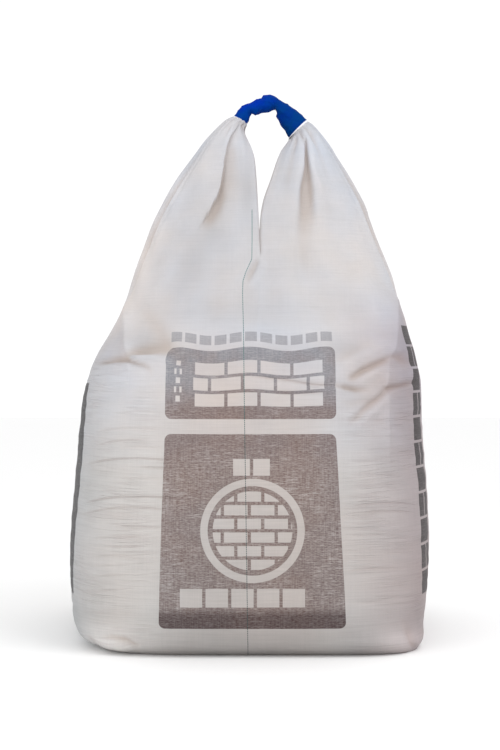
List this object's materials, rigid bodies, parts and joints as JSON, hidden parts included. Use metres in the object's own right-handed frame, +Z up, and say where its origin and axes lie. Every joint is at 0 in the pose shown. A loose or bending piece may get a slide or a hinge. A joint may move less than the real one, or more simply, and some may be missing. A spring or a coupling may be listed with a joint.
{
  "type": "single-loop bulk bag of dry grout",
  "caption": "Filled single-loop bulk bag: square woven sack of dry grout whose walls run up into two arms gathered into a sleeved lifting loop.",
  "frame": {"origin": "on the floor, under the middle of the filled bag", "axes": "+Z up through the lifting loop, -Y out of the printed front face, +X to the right as seen from the front; the loop's two arms stand left and right"},
  "size_m": [0.954, 0.954, 1.463],
  "materials": {
    "woven_fabric": null,
    "sleeve_fabric": "saturated blue woven polypropylene, crumpled",
    "liner_film": "milky polyethylene film",
    "dry_grout": "fine grey cement powder with sand",
    "tie_nylon": "natural nylon"
  },
  "bodies": {
    "root": {"outer_bag": "woven_fabric", "loop_sleeve": "sleeve_fabric", "inner_liner": "liner_film", "grout_fill": "dry_grout", "neck_tie": "tie_nylon"}
  },
  "joints": []
}
